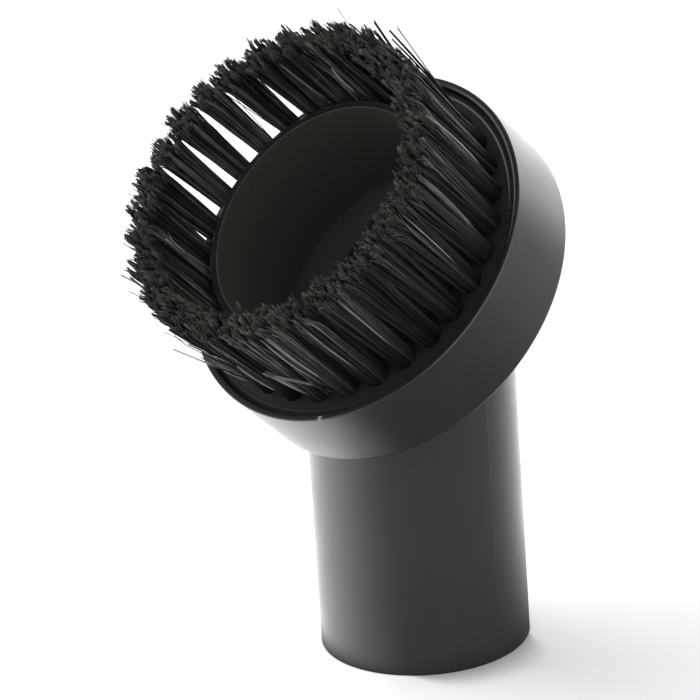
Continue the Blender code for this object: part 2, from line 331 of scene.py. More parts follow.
@dataclass(frozen=True)
class MattPolypropylene:
    """Black polypropylene with a matt skin: the drilled ring, or the eroded walls of the sleeve.

    The eye sees hardly any gloss, only a flat black that is a little uneven where dust of the
    drilling or of the floor has settled.
    """

    name: str = "drilled_black_polypropylene"
    colour: str = "#222221"
    dusty_colour: str = "#2c2c2a"
    # painted highlight colour for edges that catch the light
    highlight_colour: str = "#6c6c6a"
    ior: float = 1.49
    gloss_level: float = 0.15
    roughness: float = 0.6
    grain_mm: float = 0.5
    grain_height_mm: float = 0.01
    dust_and_painted_fill: Pair = (0.35, 0.8)    # height of the grain at which dust sets in and is full

    def make(self) -> Material:
        """Build the material.

        Returns:
            The finished material.
        """
        material, tree = new_material(self.name)
        grain = noise(tree, self.grain_mm, detail=4.0)
        low, high = self.dust_and_painted_fill
        colour = ramp(tree, grain, ((low, self.colour), (high, self.dusty_colour)))
        shade_plastic(tree, {
            "Base Color": paint_highlight_and_nick(tree, colour, self.highlight_colour), "IOR": self.ior,
            "Specular IOR Level": self.gloss_level, "Roughness": self.roughness,
            "Normal": bump(tree, grain, self.grain_height_mm)})
        return material


@dataclass(frozen=True)
class DrawnFilament:
    """Black polypropylene filament, drawn, lightly crimped and cut.

    The eye sees strands that each have their own grey and a line of light along them, and cut ends
    that are paler and matt.
    """

    name: str = "drawn_black_filament"
    greys: Stops = (            # along the tone of a strand
        (0.0, "#0b0b0b"), (0.2, "#191918"), (0.43, "#282825"), (0.66, "#4c4b45"),
        (1.0, "#e4e4de"))       # painted light: the palest strays, pale against the bright background and where they catch a highlight
    cut_end: str = "#50504b"
    ior: float = 1.49
    gloss_level: float = 0.25
    roughness: float = 0.5
    streak_mm: float = 3.0
    streak_depth: float = 0.13

    def make(self) -> Material:
        """Build the material.

        Returns:
            The finished material.
        """
        material, tree = new_material(self.name)
        tone = compute(tree, "MULTIPLY_ADD", noise(tree, self.streak_mm, detail=2.0),
                       self.streak_depth, attribute(tree, "shade"))
        shade_plastic(tree, {
            "Base Color": blend(tree, Mixed.COLOURS, attribute(tree, "cut_end"),
                                ramp(tree, tone, self.greys), linear(self.cut_end)),
            "IOR": self.ior, "Specular IOR Level": self.gloss_level, "Roughness": self.roughness})
        return material


def add_piece(name: str, points: np.ndarray, faces: np.ndarray | list[tuple[int, ...]],
              material: Material, shading: Shading = Shading.SMOOTH) -> Object:
    """Make a mesh object from points in millimetres.

    Args:
        name: Name of the object.
        points: Points as rows of x, y and z.
        faces: Corner numbers of each face.
        material: Material of all its faces.
        shading: Smooth or flat.

    Returns:
        The new object, linked to the scene.
    """
    mesh = bpy.data.meshes.new(name)
    mesh.from_pydata((points * MM).tolist(), [], [tuple(face) for face in faces])
    mesh.polygons.foreach_set("use_smooth", [shading.value] * len(mesh.polygons))
    mesh.materials.append(material)
    mesh.update()
    obj = bpy.data.objects.new(name, mesh)
    bpy.context.scene.collection.objects.link(obj)
    return obj


def quads(low: np.ndarray, high: np.ndarray) -> np.ndarray:
    """Faces between closed loops of points and their neighbours.

    Args:
        low: Point numbers of the loops, with a loop's points in the last direction.
        high: Point numbers of the loops that they are joined to.

    Returns:
        Rows of four point numbers.
    """
    return np.stack((low, np.roll(low, -1, axis=-1), np.roll(high, -1, axis=-1), high),
                    axis=-1).reshape(-1, 4)


def add_values(obj: Object, name: str, values: np.ndarray) -> None:
    """Give each point of a mesh a number that its material reads.

    Args:
        obj: Object with the mesh.
        name: Name of the attribute.
        values: One number per point.
    """
    layer = obj.data.attributes.new(name, "FLOAT", "POINT")
    layer.data.foreach_set("value", values.astype(np.float32).ravel())


@dataclass(frozen=True)
class HighlightAndNick:
    """Loops of an edge that is painted pale between two angles round the head, in degrees: a
    painted highlight, and at a depth near one a nick.
    """

    first: int
    end: int
    start: float
    stop: float
    fade: float = 9.0
    depth: float = HIGHLIGHT_LEVEL
    lead: float = 90.0      # where the turn is cut, before the start

    def values(self, angles: np.ndarray) -> np.ndarray:
        """Paleness round the head.

        Args:
            angles: Angles in radians.

        Returns:
            Wear from 0 to 1 at each angle.
        """
        before = self.start - self.lead
        turn = (np.degrees(angles) - before) % 360.0 + before
        return self.depth * np.interp(turn, (self.start - self.fade, self.start + self.fade,
                                             self.stop - self.fade, self.stop + self.fade),
                                      (0.0, 1.0, 1.0, 0.0))


@dataclass(frozen=True)
class HeadFrame:
    """Place of the tilted head on the upright tube, with the tube's own axis."""

    axis_y: float
    tilt: float = math.radians(45.0)
    height: float = 64.7

    @classmethod
    def on(cls, body: Object, low: float = 0.01) -> "HeadFrame":
        """Find the tube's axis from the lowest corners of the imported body.

        Args:
            body: CAD node of the moulded body.
            low: Height below which a corner belongs to the foot.

        Returns:
            The frame of the head.
        """
        corners = np.array([vertex.co for vertex in body.data.vertices]) / MM
        foot = corners[corners[:, 2] < low, 1]
        return cls(axis_y=float(foot.min() + foot.max()) / 2.0)

    def place(self, side: np.ndarray, rise: np.ndarray, along: np.ndarray) -> np.ndarray:
        """Points given in the head's frame, in the row's frame.

        Args:
            side: Distances towards +X.
            rise: Distances up the slope of the head.
            along: Distances along the head's axis from its back wall.

        Returns:
            Rows of x, y and z.
        """
        c, s = math.cos(self.tilt), math.sin(self.tilt)
        side, rise, along = np.broadcast_arrays(side, rise, along)
        return np.column_stack((side.ravel(), (self.axis_y + rise * c - along * s).ravel(),
                                (self.height + rise * s + along * c).ravel()))

    def direction(self, side: float, rise: float) -> np.ndarray:
        """Direction across the head's axis, from its parts towards +X and up the slope."""
        ends = self.place(np.array((0.0, side)), np.array((0.0, rise)), np.zeros(2))
        return ends[1] - ends[0]

    def loop(self, turn: np.ndarray, radius: float, along: float) -> np.ndarray:
        """Points about the head's axis, at a radius and a height and at each angle of the turn."""
        return self.place(radius * np.cos(turn), radius * np.sin(turn), along)


def arc(middle: np.ndarray, start: np.ndarray, end: np.ndarray, sweep: float | np.ndarray,
        steps: int) -> list[np.ndarray]:
    """Points on an arc, or on one arc per row.

    Args:
        middle: Its middle.
        start: Way from the middle to its start.
        end: Way from the middle to its end.
        sweep: Angle between the two, in radians.
        steps: Number of steps.

    Returns:
        Points from its start to its end.
    """
    return [middle + (start * np.sin((1.0 - share) * sweep) + end * np.sin(share * sweep))
            / np.sin(sweep) for share in np.arange(steps + 1) / steps]


def rounded_outline(corners: list[Triple], steps: int = 5, margin: float = 0.12,
                    most: float = 0.3) -> np.ndarray:
    """Outline with an arc at each rounded corner and a support point beside each arc and corner.

    Args:
        corners: Radius, height and rounding of each corner, in order.
        steps: Steps of an arc.
        margin: Distance of the support points, which keep flat walls flat when shaded smooth.
        most: Share of the shorter wall that a support point may take.

    Returns:
        Rows of radius and height.
    """
    rows: list[np.ndarray] = []
    last = len(corners) - 1
    for i, (radius, height, rounding) in enumerate(corners):
        corner = np.array((radius, height))
        if i in (0, last):
            rows.append(corner)
            continue
        before = np.array(corners[i - 1][:2]) - corner
        after = np.array(corners[i + 1][:2]) - corner
        room = min(np.linalg.norm(before), np.linalg.norm(after)) * most
        before, after = before / np.linalg.norm(before), after / np.linalg.norm(after)
        half = math.acos(float(np.clip(before @ after, -1.0, 1.0))) / 2.0
        reach = rounding / math.tan(half)
        support = min(margin, room)
        rows.append(corner + before * (reach + support))
        if rounding <= 0.0:
            rows.append(corner)
        else:
            middle = corner + (before + after) / np.linalg.norm(before + after) * (
                rounding / math.sin(half))
            start, end = corner + before * reach - middle, corner + after * reach - middle
            sweep = math.acos(float(np.clip(start @ end / rounding ** 2, -1.0, 1.0)))
            rows.extend(arc(middle, start, end, sweep, steps))
        rows.append(corner + after * (reach + support))
    return np.array(rows)


@dataclass
class BrushBody:
    """Moulded body: socket, neck, tilted head with its channel, and the air sleeve, in one skin."""

    head: HeadFrame
    columns: int = 256
    mouth_bore: float = 16.10
    end_bore: float = 15.90
    socket_depth: float = 36.0
    stop_step: float = 1.0
    lead_in: float = 0.6
    mouth_radius: float = 18.25
    top_radius: float = 18.35
    top_radius_height: float = 98.85
    mouth_round: float = 0.25
    fillet: float = 1.2
    back_radius: float = 32.85
    rim_radius: float = 33.0
    back_round: float = 0.8
    depth: float = 15.8
    back_wall: float = 2.0
    rim_bore: float = 31.7
    rim_edge_round: float = 0.15
    rim_lip_round: float = 0.5
    shoulder_top: float = 5.3
    shoulder_width: float = 1.0
    sleeve_outer: float = 23.0
    sleeve_bore: float = 21.7
    sleeve_top: float = 25.3
    sleeve_round: float = 0.15
    throat: float = 13.65
    tube_loops: int = 15
    foot_height: float = 4.0        # where the foot's outline ends
    support: float = 0.15           # distance of the loops that keep a wall flat beside an arc
    lap: float = 0.1                # overlap of an end loop onto the next wall
    ridge_height: float = 0.03      # the witness of the mould's parting, down both sides
    ridge_half_width: float = 0.13
    ridge_columns: tuple[float, ...] = (-1.6, -1.0, -0.5, 0.5, 1.0, 1.6)    # in half widths
    ridge_fade: float = 0.25        # share of the tube over which it dies out at each end
    zones: tuple[tuple[int, Finish], ...] = (   # loops of the head from which a finish runs on
        (16, Finish.MATT),          # the rim's lip and the channel
        # painted fill light from here on: paler blacks on the sleeve's outer wall, its inside and
        # floor, and the airway
        (40, Finish.PAINTED_FILL_HOLLOW),        # the sleeve's outer wall
        (43, Finish.GLOSSY),        # its outer edge, worn shiny
        (50, Finish.MATT), (52, Finish.PAINTED_FILL_INSIDE),  # its top and its inside
        (60, Finish.PAINTED_FILL_HOLLOW))        # its floor and the airway
    # painted highlights on the rim's lip from 22 to 84 degrees and on its outer edge from -28 to 24
    # degrees, and a small pale nick on that edge near -69 degrees
    highlight_and_nick: tuple[HighlightAndNick, ...] = (HighlightAndNick(18, 21, 22.0, 84.0), HighlightAndNick(10, 16, -28.0, 24.0),
                              HighlightAndNick(10, 18, -69.2, -68.6, 0.35, 0.95))
    angles: np.ndarray = field(init=False)
    ridge: np.ndarray = field(init=False)

    def __post_init__(self) -> None:
        """Lay out the columns, with close ones for the parting ridge on both sides."""
        step = 2.0 * math.pi / self.columns
        even = np.arange(self.columns) * step
        near = np.array(self.ridge_columns) * self.ridge_half_width / self.top_radius
        extra = np.concatenate((near, math.pi + near)) % (2.0 * math.pi)
        self.angles = np.sort(np.concatenate((even, extra)))
        offset = np.abs(np.sin(self.angles)) * self.top_radius / self.ridge_half_width
        self.ridge = self.ridge_height * np.clip(1.0 - offset ** 2, 0.0, 1.0)

    def tube_radius(self, height: np.ndarray) -> np.ndarray:
        """Outer radius of the tube at a height."""
        share = np.asarray(height) / self.top_radius_height
        return self.mouth_radius + (self.top_radius - self.mouth_radius) * share

    def round_tube(self, radius: np.ndarray, height: np.ndarray) -> np.ndarray:
        """Loop about the tube's axis.

        Args:
            radius: Radius of the loop, or of each of its columns.
            height: Height of the loop, or of each of its columns.

        Returns:
            One point per column.
        """
        return np.column_stack((radius * np.cos(self.angles),
                                radius * np.sin(self.angles) + self.head.axis_y,
                                np.broadcast_to(height, self.angles.shape)))

    def outer_tube(self) -> list[np.ndarray]:
        """Loops from the mouth's flat face up the tube to the start of the neck's fillet.

        Returns:
            One array of points per loop.
        """
        slope = (self.top_radius - self.mouth_radius) / self.top_radius_height
        foot = rounded_outline([
            (self.mouth_bore + self.lead_in, 0.0, 0.0),
            (self.mouth_radius, 0.0, self.mouth_round),
            (self.mouth_radius + slope * self.foot_height, self.foot_height, 0.0)])[1:-1]
        loops = [self.round_tube(radius, height) for radius, height in foot]
        start = float(foot[-1][1]) + 2.0 * self.support
        neck = self.neck_height() - self.fillet - self.support
        for share in np.linspace(0.0, 1.0, self.tube_loops):
            height = start + (neck - start) * share
            fade = min(1.0, min(share, 1.0 - share) / self.ridge_fade)
            loops.append(self.round_tube(self.tube_radius(height) + self.ridge * fade, height))
        return loops

    def neck_height(self) -> np.ndarray:
        """Height of the corner between the tube and the back wall on each column."""
        return self.head.height + self.top_radius * np.sin(self.angles) * math.tan(self.head.tilt)

    def neck_fillet(self, steps: int = 8) -> list[np.ndarray]:
        """Loops of the fillet from the tube's wall to the back wall, and a support loop.

        Args:
            steps: Steps of the arc.

        Returns:
            One array of points per loop.
        """
        height = self.neck_height()
        corner = self.round_tube(self.tube_radius(height), height)
        slope = np.sin(self.angles) * math.tan(self.head.tilt)
        outward = np.column_stack((np.cos(self.angles), np.sin(self.angles), slope))
        outward /= np.linalg.norm(outward, axis=1)[:, None]
        down = np.array((0.0, 0.0, -1.0))
        half = np.arccos(np.clip(outward @ down, -1.0, 1.0)) / 2.0
        between = outward + down
        between /= np.linalg.norm(between, axis=1)[:, None]
        middle = corner + between * (self.fillet / np.cos(half))[:, None]
        start = corner + down * self.fillet - middle
        end = corner + outward * self.fillet - middle
        sweep = math.pi - 2.0 * half[:, None]
        return [*arc(middle, start, end, sweep, steps),
                corner + outward * (self.fillet + self.support)]

    def head_walls(self) -> list[np.ndarray]:
        """Loops from the back plate over the rim, through the channel and over the sleeve.

        Returns:
            One array of points per loop.
        """
        outline = rounded_outline([
            (self.back_radius - 3.0 * self.back_round, 0.0, 0.0),
            (self.back_radius, 0.0, self.back_round),
            (self.rim_radius, self.depth, self.rim_edge_round),
            (self.rim_bore, self.depth, self.rim_lip_round),
            (self.rim_bore, self.shoulder_top, 0.0),
            (self.rim_bore - self.shoulder_width, self.shoulder_top, 0.0),
            (self.rim_bore - self.shoulder_width, self.back_wall, 0.0),
            (self.sleeve_outer + self.shoulder_width, self.back_wall, 0.0),
            (self.sleeve_outer + self.shoulder_width, self.shoulder_top, 0.0),
            (self.sleeve_outer, self.shoulder_top, 0.0),
            (self.sleeve_outer, self.sleeve_top, self.sleeve_round),
            (self.sleeve_bore, self.sleeve_top, self.sleeve_round),
            (self.sleeve_bore, self.back_wall, 0.0),
            (self.sleeve_bore - 2.0 * self.lap, self.back_wall, 0.0)])
        return [self.head.loop(self.angles, radius, along) for radius, along in outline]

    def airway(self) -> list[np.ndarray]:
        """Loops from the throat's edge down the bore to the socket's mouth.

        Returns:
            One array of points per loop.
        """
        tangent = math.tan(self.head.tilt)
        rise = (self.throat * np.sin(self.angles) / math.cos(self.head.tilt)
                + self.back_wall * tangent)
        loops = [self.head.place(self.throat * np.cos(self.angles), rise, self.back_wall)]
        edge = (self.head.height + self.back_wall / math.cos(self.head.tilt)
                + self.throat * np.sin(self.angles) * tangent)
        loops.append(self.round_tube(self.throat, edge - self.support))
        start = self.head.height - self.throat * tangent
        inner = rounded_outline([
            (self.throat, start + 4.0 * self.lap, 0.0), (self.throat, start, 0.0),
            (self.end_bore - self.stop_step, self.socket_depth, 0.0),
            (self.end_bore, self.socket_depth, 0.0),
            (self.mouth_bore, self.lead_in, 0.0),
            (self.mouth_bore + self.lead_in, 0.0, 0.0),
            (self.mouth_bore + self.lead_in + self.lap, 0.0, 0.0)])
        loops.extend(self.round_tube(radius, height) for radius, height in inner)
        return loops

    def build(self, glossy: Material, matt: Material, painted_fill_inside: Material,
              painted_fill_hollow: Material) -> Object:
        """Join all loops into one closed skin and dress it.

        Args:
            glossy: Finish of the outside and of the sleeve's outer edge, shiny with use.
            matt: Finish of the rim's lip, the channel and the top of the sleeve.
            painted_fill_inside: Finish of the inside of the sleeve, a paler black that is painted
                fill light in its shade.
            painted_fill_hollow: Finish of the sleeve's outer wall and its floor, and of the airway,
                a paler black that is painted fill light in their shade.

        Returns:
            The finished body.
        """
        outside = self.outer_tube() + self.neck_fillet()
        loops = outside + self.head_walls() + self.airway()
        count, rows = len(self.angles), len(loops)
        numbers = np.arange(rows * count).reshape(rows, count)
        body = add_piece("moulded_body", np.concatenate(loops),
                         quads(numbers, np.roll(numbers, -1, axis=0)), glossy)
        for material in (matt, painted_fill_inside, painted_fill_hollow):
            body.data.materials.append(material)
        row = np.repeat(np.arange(rows), count) - len(outside)
        zone = np.full(row.shape, Finish.GLOSSY, dtype=np.int32)
        for first, finish in self.zones:
            zone[row >= first] = finish
        body.data.polygons.foreach_set("material_index", zone)
        # painted highlights and the nick, as an attribute that the materials read
        highlight = np.zeros((rows, count))
        for highlight_and_nick in self.highlight_and_nick:
            highlight[len(outside) + highlight_and_nick.first:len(outside) + highlight_and_nick.end] += highlight_and_nick.values(self.angles)
        add_values(body, "highlight_and_nick", highlight)
        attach(body, ROOT_BODY)
        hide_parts("brush_body")
        return body


@dataclass
class RingEdge:
    """Edge of the pressed-in ring: a fine bead, a chamfer and the weld that closes its gap."""

    head: HeadFrame
    columns: int = 192
    profile: tuple[Pair, ...] = (       # radius, and height along the head's axis
        (30.25, 14.95), (30.35, 15.01),                     # foot of the bead, on the ring's face
        (30.5, 15.04), (30.6, 15.06), (30.7, 15.02),        # bead
        (31.25, 14.75), (31.75, 14.75), (31.75, 14.65))     # chamfer and weld
    # painted highlight on the bead, from 36 to 90 degrees
    highlight_and_nick: HighlightAndNick = HighlightAndNick(2, 5, 36.0, 90.0)

    def build(self, matt: Material) -> Object:
        """Turn the edge's profile round the head's axis and dress it.

        Args:
            matt: Its finish.

        Returns:
            The finished edge.
        """
        turn = np.arange(self.columns) * 2.0 * math.pi / self.columns
        points = np.concatenate([self.head.loop(turn, radius, along)
                                 for radius, along in self.profile])
        numbers = np.arange(len(points)).reshape(len(self.profile), self.columns)
        edge = add_piece("ring_edge", points, quads(numbers[1:], numbers[:-1]), matt)
        # painted highlight on the bead, as an attribute that the material reads
        highlight = np.zeros(numbers.shape)
        highlight[self.highlight_and_nick.first:self.highlight_and_nick.end] = self.highlight_and_nick.values(turn)
        add_values(edge, "highlight_and_nick", highlight)
        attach(edge, ROOT_BODY)
        return edge


@dataclass
class FilamentBundle:
    """Swept filaments, gathered from several tufts or strays into one mesh."""

    sides: int = 3
    tip_width: float = 0.8      # of a cut end, where the strand is 1
    rows: list[np.ndarray] = field(default_factory=list)
    shades: list[np.ndarray] = field(default_factory=list)
    ends: list[np.ndarray] = field(default_factory=list)

    def add(self, paths: np.ndarray, radius: np.ndarray, shade: np.ndarray,
            turn: np.ndarray, out: np.ndarray, across: np.ndarray) -> None:
        """Add filaments that follow paths.

        Args:
            paths: Points of the paths, as filament by step by xyz.
            radius: Radius of each filament.
            shade: Tone of each filament at each step, from 0 to 1.
            turn: Angle of each filament's section about its own length.
            out: Unit direction across the filaments.
            across: Unit direction across the filaments, square to out.
        """
        count, levels, _ = paths.shape
        corner = turn[:, None] + np.arange(self.sides) * 2.0 * math.pi / self.sides
        taper = np.ones(levels)
        taper[-1] = self.tip_width
        offset = np.cos(corner)[..., None] * out + np.sin(corner)[..., None] * across
        ring = offset[:, None] * (radius[:, None] * taper)[..., None, None]
        self.rows.append(paths[:, :, None] + ring)
        self.shades.append(np.broadcast_to(shade[..., None], (count, levels, self.sides)))
        end = np.zeros((count, levels, self.sides))
        end[:, -1] = (turn / turn.max())[:, None]
        self.ends.append(end)

    def build(self, name: str, material: Material) -> Object:
        """Make the mesh with its shade and cut_end attributes.

        Args:
            name: Name of the object.
            material: Material of the filaments.

        Returns:
            The new object.
        """
        points, shades, ends, faces, first = [], [], [], [], 0
        for block, shade, end in zip(self.rows, self.shades, self.ends):
            count, levels, sides, _ = block.shape
            numbers = first + np.arange(count * levels * sides).reshape(count, levels, sides)
            faces.extend(quads(numbers[:, :-1], numbers[:, 1:]).tolist())
            faces.extend(numbers[:, -1].tolist())
            faces.extend(numbers[:, 0, ::-1].tolist())
            points.append(block.reshape(-1, 3))
            shades.append(shade.ravel())
            ends.append(end.ravel())
            first += numbers.size
        obj = add_piece(name, np.concatenate(points), faces, material)
        add_values(obj, "shade", np.concatenate(shades))
        add_values(obj, "cut_end", np.concatenate(ends))
        return obj


@dataclass(frozen=True)
class Stray:
    """A filament or a few that stand away from their tuft.

    The knots are points on the strand in the head's frame: towards +X, up the slope and along
    the head's axis. A tone runs from 0, dark, to 1, pale; the pale tones are painted light, and
    they set in near the first knot, away from the tuft.
    """

    tuft: int
    tone: float
    knots: tuple[Triple, ...]
    strands: int = 2
    radius: float = 0.12
    spread: float = 0.08
    root_tone: float = 0.3
    root_weight: float = 0.5        # of the hole in the fit, where a knot is 1
    root_spread: float = 0.4        # of the strands at the hole, as a share of the spread
    tone_start: float = 0.8         # share of the way to the first knot where the tone sets in
    tone_length: float = 0.2

    def paths(self, root: Triple, steps: int,
              chance: Generator) -> tuple[np.ndarray, np.ndarray]:
        """Smooth paths from the tuft's hole through the knots.

        Args:
            root: Point in the hole, in the head's frame.
            steps: Points on each path.
            chance: Seeded random numbers that part the strands.

        Returns:
            Strand by step by the head's three directions, and the tone of each step.
        """
        knots = np.array((root, *self.knots))
        length = np.concatenate(((0.0,), np.linalg.norm(np.diff(knots, axis=0), axis=1).cumsum()))
        fit = np.polyfit(length / length[-1], knots, 2,
                         w=np.array((self.root_weight,) + (1.0,) * len(self.knots)))
        share = np.linspace(0.0, 1.0, steps)[:, None]
        path = fit[0] * share ** 2 + fit[1] * share + fit[2]
        spread = chance.normal(0.0, self.spread, (self.strands, 1, 3)) * (self.strands > 1)
        rise = np.clip((share[:, 0] * length[-1] / length[1] - self.tone_start)
                       / self.tone_length, 0.0, 1.0)
        tone = self.root_tone + (self.tone - self.root_tone) * rise
        return (path + spread * (self.root_spread + share),
                np.broadcast_to(tone, (self.strands, steps)))


@dataclass
class TuftRing:
    """Thirty tufts of loose filaments that stand in the ring's holes and flare towards their tips.

    A tuft's root is packed round in its hole. Towards the tip the filaments part in locks, each
    lock ends at its own height, and the outline grows squarer until it nearly meets its
    neighbours.
    """

    head: HeadFrame
    count: int = 30
    seed: int = 4100
    filaments: int = 460
    locks: int = 34
    circle: float = 27.0
    hole_start: float = 9.6
    ring_top: float = 15.0
    rim_height: float = 15.8
    reach: float = 25.2
    radius: float = 0.1             # of a filament
    radius_share: Pair = (0.85, 1.12)
    section_turn: float = 1.57      # most that a section is turned, and its paleness with it
    stray_turn: float = 0.1         # least that a stray's section is turned
    root_radius: float = 2.04
    root_parting: float = 0.8       # of a root beside a parting, where its tip is 1
    tip_half: Pair = (3.0, 3.35)    # out, and along the circle
    tip_power: float = 2.1          # 2 is an ellipse, and more is squarer
    tip_size: Pair = (0.96, 1.04)
    tip_scatter: float = 0.1
    lock_pull: Pair = (0.35, 0.8)   # share of the way to the lock's middle
    lean: float = 0.4
    lean_share: Pair = (0.4, 1.6)
    lean_along: float = 0.08
    loose: Pair = (0.03, 0.6)       # share of the filaments, and how far they stand out
    reach_scatter: Triple = (0.15, 0.33, 0.22)      # tuft, lock, filament
    crown: float = 0.9              # drop of the outermost tips
    crown_power: int = 4
    lock_crown: float = 0.5         # drop of a tip that is lock_radius from its lock's middle
    lock_radius: float = 0.6
    lock_limit: float = 1.5
    odd_lengths: tuple[Quad, ...] = (
        (0.12, 0.3, 1.8, -1.0), (0.02, 0.3, 1.0, 1.0))  # share, least, most, shorter or longer
    flare_power: float = 1.12
    crimp: float = 0.08
    crimp_waves: Pair = (7.0, 12.0)     # radians over the free length
    crimp_start: Pair = (0.0, 6.3)
    curl_length: float = 2.6        # length of the fuzzy end of a filament
    curl_power: float = 1.3
    curl: Pair = (0.3, 0.2)         # lock, filament
    tone: Pair = (0.25, 0.21)       # painted shade: tone at the root, and what the tip adds, so that the filaments are darker low down
    tone_scatter: Pair = (0.08, 0.1)    # filament, lock
    tone_limit: float = 0.66
    dust_and_painted_fill: float = 0.36              # painted fill light: tone added low down on the inner side, where the tufts stand in shade
    painted_fill_middle: float = 0.5
    painted_fill_power: float = 1.5
    partings: dict[int, float] = field(default_factory=lambda: {    # after a tuft, by its number
        9: 0.45, 11: 0.4, 12: 0.7, 13: 0.7, 14: 0.35, 15: 0.55, 16: 0.35, 17: 0.58})
    levels: tuple[float, ...] = (0.0, 0.17, 0.32, 0.5, 0.68, 0.82, 0.89, 0.95, 1.0)     # steps
    strays: tuple[Stray, ...] = (
        # lower left, where two pale ones and some dark ones stand out from the ring; the pale ones
        # are painted light, pale against the bright background
        Stray(23, 1.0, ((-0.9, -32.0, 34.2), (-1.8, -32.6, 37.0), (-2.7, -33.0, 39.7)), 7, 0.06,
              0.12, 0.2),
        Stray(22, 1.0, ((-1.9, -29.6, 30.0), (-3.9, -30.7, 37.5), (-5.1, -31.1, 41.0)), 3, 0.045,
              0.07),
        Stray(22, 0.1, ((-5.0, -29.3, 30.0), (-4.7, -29.9, 36.0), (-4.0, -30.6, 41.4)), 3, 0.15),
        Stray(20, 0.15, ((-14.7, -24.7, 36.0), (-16.0, -24.5, 39.0), (-17.4, -24.1, 41.8)), 3,
              0.16),
        Stray(21, 0.15, ((-10.1, -27.0, 36.0), (-12.3, -27.1, 41.0)), 2, 0.14),
        Stray(19, 0.95, ((-17.2, -24.1, 38.5), (-18.2, -24.2, 40.5), (-19.3, -24.3, 42.3)), 2,
              0.13),
        Stray(20, 0.9, ((-14.5, -26.0, 37.5), (-15.7, -26.2, 39.5), (-16.6, -26.3, 41.5)), 1),
        # top right, where the pale ones are painted light, pale against the bright background
        Stray(5, 0.02, ((13.4, 27.5, 33.0), (12.0, 28.4, 35.6), (10.7, 29.2, 38.5),
                        (9.1, 30.2, 41.8)), 5, 0.19, 0.06),
        Stray(5, 0.02, ((13.0, 27.2, 33.0), (12.2, 27.9, 37.3), (11.3, 28.4, 39.3),
                        (10.1, 28.9, 41.5)), 4, 0.18, 0.06),
        Stray(5, 1.0, ((13.1, 28.0, 33.0), (12.3, 29.3, 38.3), (10.6, 31.0, 42.3)), 6, 0.07, 0.12,
              0.1),
        Stray(8, 1.0, ((-2.0, 29.6, 38.5), (-2.6, 30.6, 41.3), (-3.2, 31.1, 43.0)), 1, 0.1),
        Stray(7, 0.02, ((4.3, 28.9, 39.0), (4.2, 29.5, 41.5), (4.0, 29.7, 42.7)), 4, 0.16),
        Stray(6, 0.02, ((6.0, 29.7, 39.5), (5.8, 30.3, 41.5), (5.6, 30.6, 42.7)), 4, 0.16),
        # clumps that cross the near tufts, their paler tones painted highlights
        Stray(25, 0.72, ((11.5, -26.9, 22.1), (9.9, -27.8, 24.8), (6.6, -29.0, 27.2)), 7, 0.12,
              0.15),
        Stray(24, 0.7, ((8.5, -27.9, 18.9), (8.2, -28.3, 23.7), (7.1, -28.9, 27.6)), 7, 0.12,
              0.15),
        Stray(23, 0.7, ((2.1, -29.0, 18.7), (2.0, -29.4, 23.9), (2.1, -29.7, 29.1)), 5, 0.13, 0.1),
        Stray(22, 0.68, ((-4.6, -28.7, 17.7), (-5.7, -29.2, 22.9), (-5.8, -29.9, 29.2)), 5, 0.12,
              0.12),
        Stray(21, 0.7, ((-8.6, -27.4, 20.0), (-9.4, -28.8, 30.0)), 4, 0.13, 0.12),
        Stray(25, 0.7, ((14.3, -25.7, 22.8), (14.8, -26.0, 31.2), (15.3, -26.4, 39.6)), 4, 0.12),
        Stray(25, 0.66, ((13.2, -26.2, 21.8), (13.7, -26.6, 30.6), (14.1, -27.0, 39.1)), 3),
        Stray(26, 0.66, ((19.5, -22.0, 23.1), (20.0, -22.3, 32.5), (19.8, -22.3, 40.5)), 3),
        Stray(27, 0.66, ((24.4, -16.3, 21.9), (24.8, -16.7, 31.3), (25.5, -16.6, 39.5)), 3),
        Stray(3, 0.72, ((22.9, 18.4, 21.9), (23.8, 18.1, 31.7), (24.6, 18.0, 40.5)), 4),
        Stray(1, 0.66, ((28.3, 7.5, 21.8), (28.9, 7.7, 31.4), (29.5, 7.8, 40.0)), 3),
        Stray(0, 0.66, ((29.3, 0.3, 23.0), (29.9, 0.3, 32.1), (30.5, 0.3, 40.3)), 3),
        # inside, on the far side, their paler tones painted highlights
        Stray(9, 0.95, ((-8.0, 23.6, 26.0), (-6.4, 23.3, 31.0), (-4.8, 23.0, 36.0)), 3, 0.12, 0.05),
        Stray(10, 0.7, ((-12.4, 20.7, 26.0), (-14.1, 20.6, 38.0)), 2),
        Stray(18, 0.85, ((-21.4, -14.3, 25.0), (-18.3, -14.4, 38.0)), 2),
        Stray(17, 0.8, ((-23.4, -13.6, 25.0), (-18.7, -13.5, 38.0)), 1))

    def angle(self, index: int) -> float:
        """Place of a tuft round the head, from its +X side."""
        return 2.0 * math.pi * index / self.count

    def tips(self, unit: np.ndarray,
             chance: Generator) -> tuple[np.ndarray, np.ndarray, np.ndarray]:
        """Tips of one tuft, parted in locks.

        Args:
            unit: Place of each filament in the tuft's round section, from -1 to 1.
            chance: Seeded random numbers.

        Returns:
            Tips as rows of (out, along the circle), the lock of each filament, and its distance
            from the lock's middle.
        """
        direction = np.abs(unit / np.linalg.norm(unit, axis=1)[:, None])
        square = (direction ** self.tip_power).sum(axis=1) ** (-1.0 / self.tip_power)
        tip = unit * square[:, None] * np.array(self.tip_half) * chance.uniform(*self.tip_size)
        tip += chance.normal(0.0, self.tip_scatter, tip.shape)
        middles = tip[chance.choice(len(tip), self.locks, replace=False)]
        distance = np.linalg.norm(tip[:, None] - middles[None], axis=2)
        lock = distance.argmin(axis=1)
        pull = chance.uniform(*self.lock_pull, self.locks)[lock]
        return (tip + (middles[lock] - tip) * pull[:, None], lock,
                distance[np.arange(len(tip)), lock])

